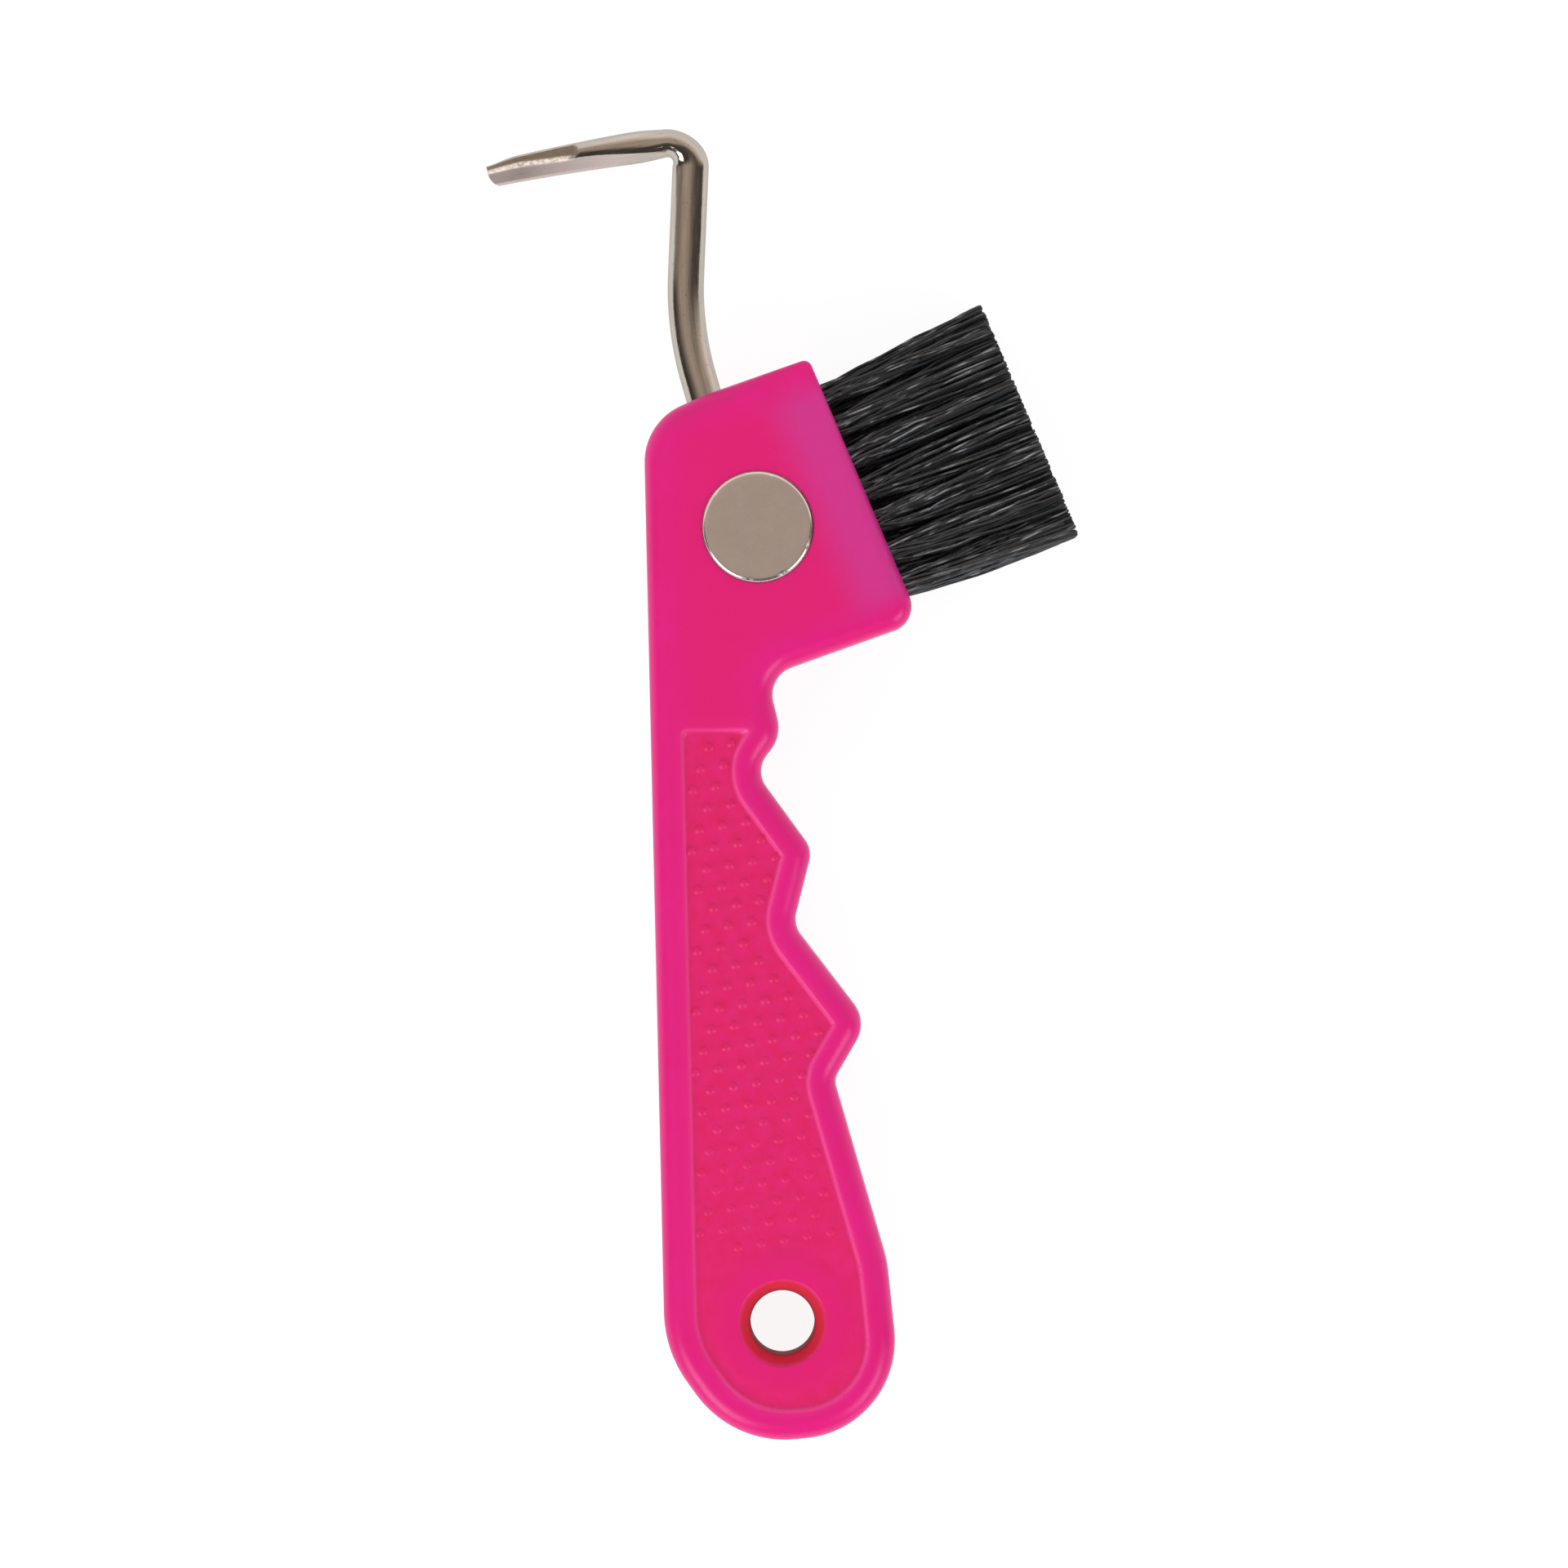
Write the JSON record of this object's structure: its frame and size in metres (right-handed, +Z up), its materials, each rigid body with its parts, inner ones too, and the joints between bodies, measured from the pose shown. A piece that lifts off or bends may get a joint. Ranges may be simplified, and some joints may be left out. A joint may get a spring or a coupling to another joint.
{
  "type": "hoof pick",
  "caption": "Hoof pick with a moulded finger-wave handle, a bent steel pick, a slanted block of stiff bristles and a round holding magnet.",
  "frame": {"origin": "middle of the overall length and width, on the surface that the tool lies on", "axes": "+Y along the handle towards the pick, +X towards the brush, +Z up through the handle's thickness, out of the face that holds the magnet"},
  "size_m": [0.0816, 0.1799, 0.0184],
  "materials": {
    "handle_plastic": "glossy, slightly translucent pink polypropylene",
    "pick_steel": "nickel-plated steel with drawn streaks and a ground tip",
    "magnet_plating": "satin nickel plating with a bright edge",
    "bristle_nylon": "black crimped nylon filaments",
    "anchor_wire": "bright flat wire"
  },
  "bodies": {
    "root": {"handle": "handle_plastic", "pick": "pick_steel", "magnet": "magnet_plating", "tuft_front_1": "bristle_nylon", "tuft_front_2": "bristle_nylon", "tuft_front_3": "bristle_nylon", "tuft_front_4": "bristle_nylon", "tuft_front_5": "bristle_nylon", "tuft_front_6": "bristle_nylon", "tuft_front_7": "bristle_nylon", "tuft_middle_1": "bristle_nylon", "tuft_middle_2": "bristle_nylon", "tuft_middle_3": "bristle_nylon", "tuft_middle_4": "bristle_nylon", "tuft_middle_5": "bristle_nylon", "tuft_middle_6": "bristle_nylon", "tuft_back_1": "bristle_nylon", "tuft_back_2": "bristle_nylon", "tuft_back_3": "bristle_nylon", "tuft_back_4": "bristle_nylon", "tuft_back_5": "bristle_nylon", "tuft_back_6": "bristle_nylon", "tuft_back_7": "bristle_nylon", "anchor_front_1": "anchor_wire", "anchor_front_2": "anchor_wire", "anchor_front_3": "anchor_wire", "anchor_front_4": "anchor_wire", "anchor_front_5": "anchor_wire", "anchor_front_6": "anchor_wire", "anchor_front_7": "anchor_wire", "anchor_middle_1": "anchor_wire", "anchor_middle_2": "anchor_wire", "anchor_middle_3": "anchor_wire", "anchor_middle_4": "anchor_wire", "anchor_middle_5": "anchor_wire", "anchor_middle_6": "anchor_wire", "anchor_back_1": "anchor_wire", "anchor_back_2": "anchor_wire", "anchor_back_3": "anchor_wire", "anchor_back_4": "anchor_wire", "anchor_back_5": "anchor_wire", "anchor_back_6": "anchor_wire", "anchor_back_7": "anchor_wire"}
  },
  "joints": []
}
